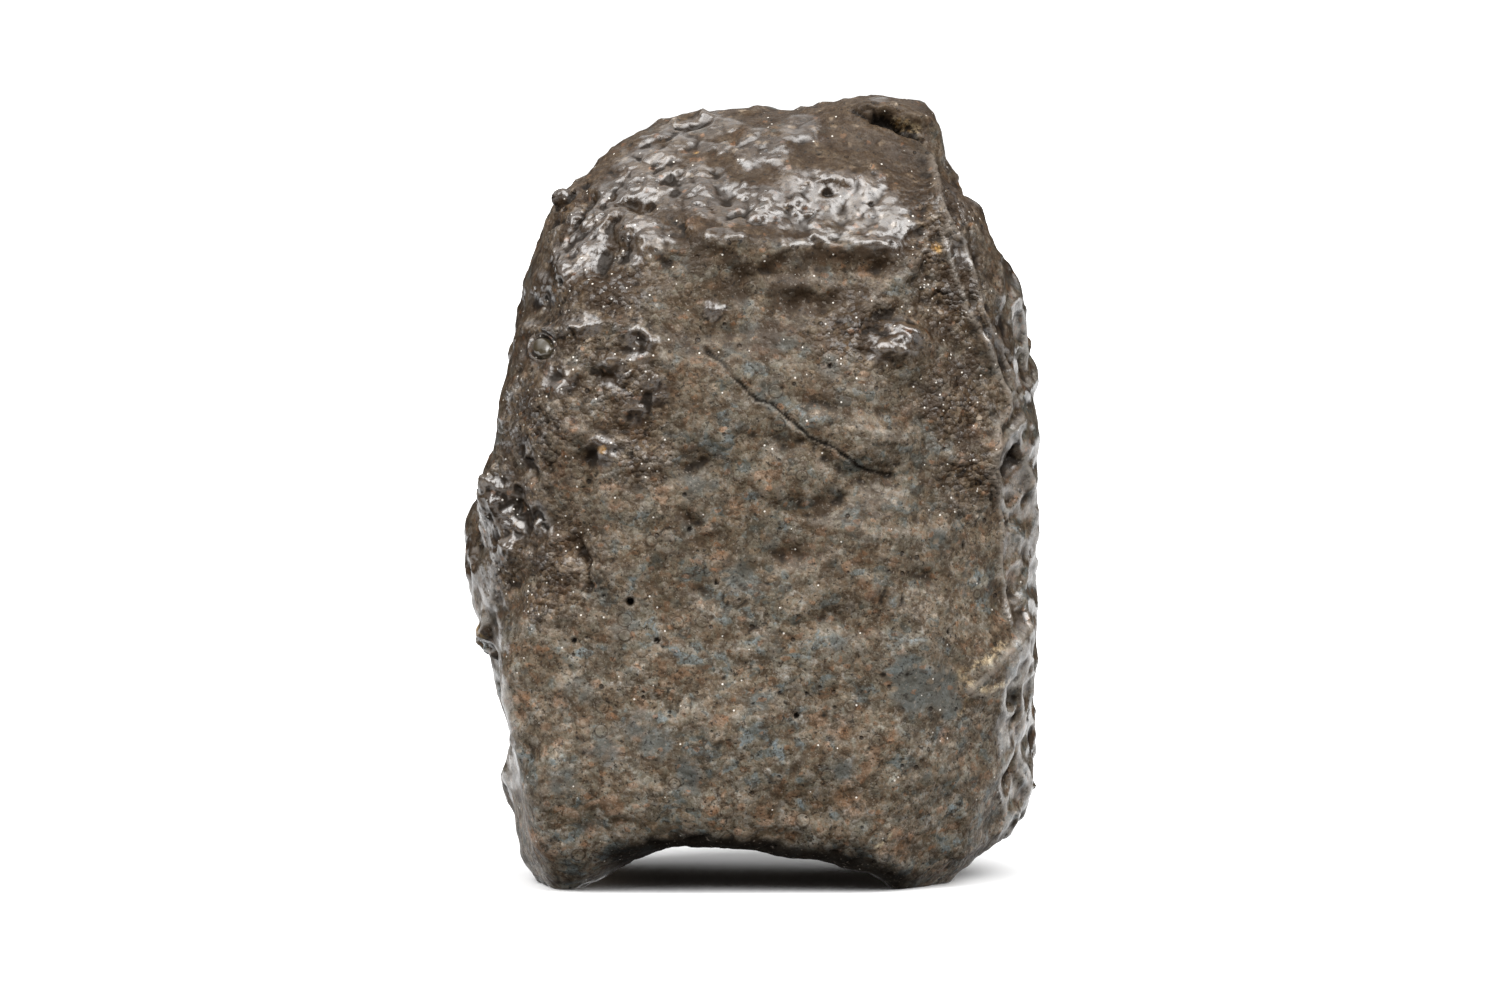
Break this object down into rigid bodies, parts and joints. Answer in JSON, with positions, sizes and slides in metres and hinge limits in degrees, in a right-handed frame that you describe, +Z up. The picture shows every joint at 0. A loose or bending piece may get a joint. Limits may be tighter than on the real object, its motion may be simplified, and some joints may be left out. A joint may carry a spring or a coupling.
{
  "type": "chondrite meteorite",
  "caption": "Upright weathered stony meteorite, a blocky pebble with a bevelled brow, a small knob on top and two low feet with an arch between.",
  "frame": {"origin": "on the ground under the middle of the stone's bounding box", "axes": "+Z up, along the stone's longest extent; +X to the right and +Y to the back, seen from the broad front face"},
  "size_m": [0.0206, 0.0158, 0.028],
  "materials": {
    "crust": "weathered brown crust, satin to semi-gloss, with small rusty and blue-grey patches"
  },
  "bodies": {
    "root": {"meteorite": "crust"}
  },
  "joints": []
}
